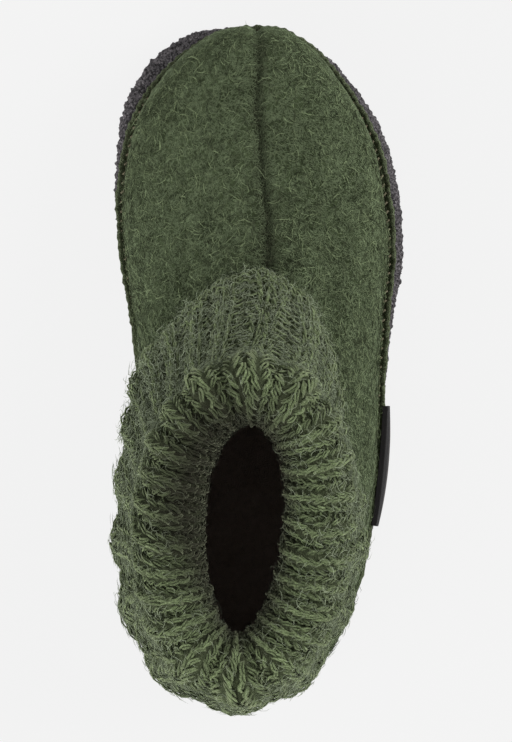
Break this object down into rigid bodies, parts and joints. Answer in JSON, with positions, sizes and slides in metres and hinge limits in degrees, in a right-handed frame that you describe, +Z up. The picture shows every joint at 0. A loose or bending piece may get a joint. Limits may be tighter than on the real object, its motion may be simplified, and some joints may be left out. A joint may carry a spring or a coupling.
{
  "type": "wool slipper",
  "caption": "Child's slipper for the right foot: green boiled wool with a seam down the middle, a ribbed knit cuff turned down over the ankle, and a thick dark felt sole.",
  "frame": {"origin": "on the floor under the middle of the slipper's overall box", "axes": "+X to the outer side of the foot, +Y from the heel to the toe, +Z up out of the floor"},
  "size_m": [0.0782, 0.1814, 0.0966],
  "materials": {
    "sole_felt": "rough",
    "insole_felt": "rough",
    "boiled_wool": "rough",
    "rib_knit": "rough",
    "tab_weave": "satin"
  },
  "bodies": {
    "root": {"sole": "sole_felt", "insole": "insole_felt", "upper": "boiled_wool", "cuff": "rib_knit", "side_tab": "tab_weave"}
  },
  "joints": []
}
